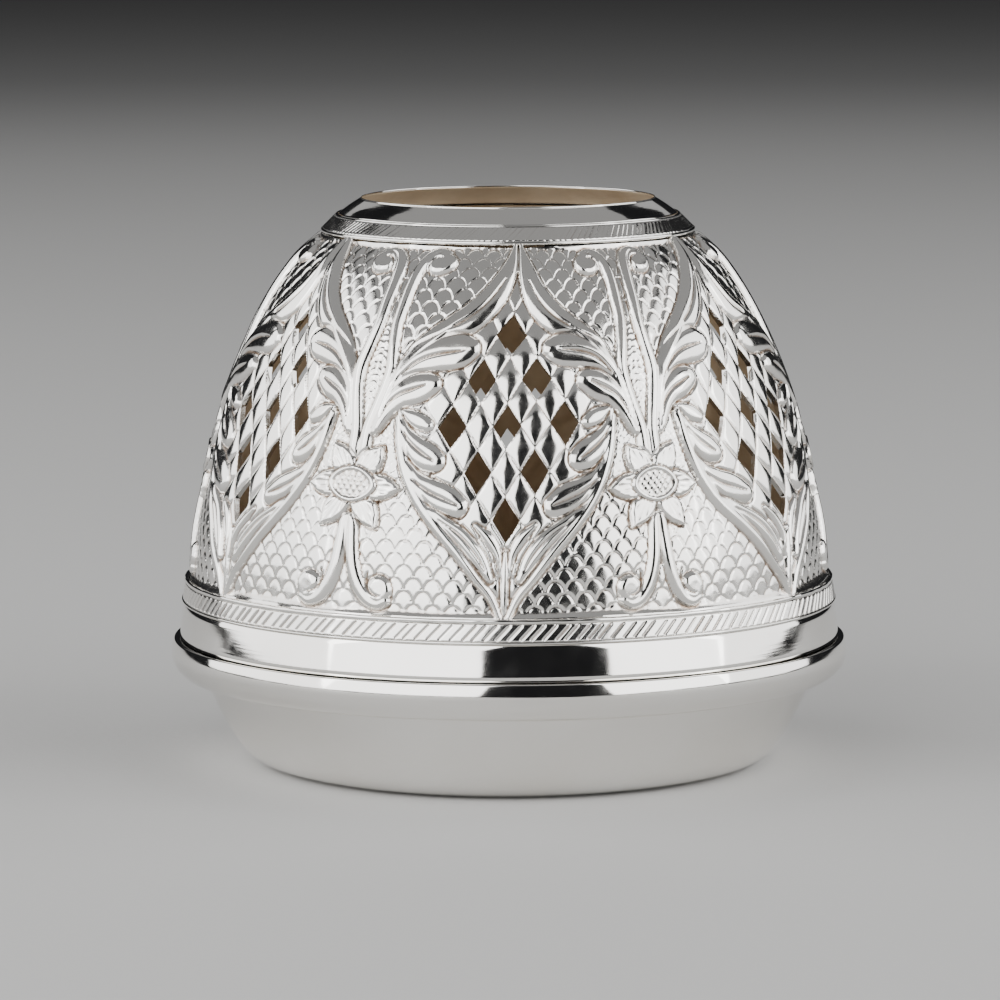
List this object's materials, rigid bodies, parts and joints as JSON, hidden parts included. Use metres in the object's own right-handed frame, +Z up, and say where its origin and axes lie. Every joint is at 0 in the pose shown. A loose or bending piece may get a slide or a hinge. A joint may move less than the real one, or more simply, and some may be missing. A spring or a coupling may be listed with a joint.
{
  "type": "votive lamp",
  "caption": "Free-standing votive lamp: a domed, pierced and chased silver shade lifts off a shallow bowl base that holds a tealight in a fixed cup.",
  "frame": {"origin": "centre of the flat foot ring, on the surface that the lamp stands on", "axes": "+Z up along the lamp's axis of revolution; -Y faces the picture's viewer, through the middle of one pierced panel; +X to the viewer's right"},
  "size_m": [0.11, 0.11, 0.092],
  "materials": {
    "polished_silver": "mirror-polished silver with faint hairline scratches",
    "chased_silver": "bright hand-chased silver, warm tarnish in the grooves and a dull brown inside",
    "holder_silver": "satin silver plate with light tarnish",
    "brass": "turned brass, slightly dull",
    "tealight_foil": "thin drawn aluminium with fine vertical creases",
    "wick_steel": "tinned steel",
    "wax": "smooth white paraffin wax, slightly translucent",
    "cotton": "braided waxed cotton"
  },
  "bodies": {
    "base": {"base_bowl": "polished_silver", "base_rim": "polished_silver", "locating_ring": "holder_silver", "candle_holder": "holder_silver", "holder_spacer": "brass", "holder_screw": "brass", "holder_nut": "brass"},
    "shade": {"shade_shell": "chased_silver", "neck_collar": "polished_silver", "mouth_wire": "polished_silver", "neck_band": "chased_silver", "neck_wire_upper": "polished_silver", "neck_wire_lower": "polished_silver", "skirt_wire_upper": "polished_silver", "skirt_wire_lower": "polished_silver", "skirt_hatched_band": "chased_silver", "skirt_plain_band": "polished_silver"},
    "tealight": {"tealight_cup": "tealight_foil", "tealight_wax": "wax", "wick_sustainer": "wick_steel", "wick": "cotton"}
  },
  "joints": [
    {"name": "shade_lift", "type": "slide", "parent": "base", "child": "shade", "axis": [0, 0, 1], "range_m": [0, 0.12]},
    {"name": "tealight_lift", "type": "slide", "parent": "base", "child": "tealight", "axis": [0, 0, 1], "range_m": [0, 0.05]}
  ]
}
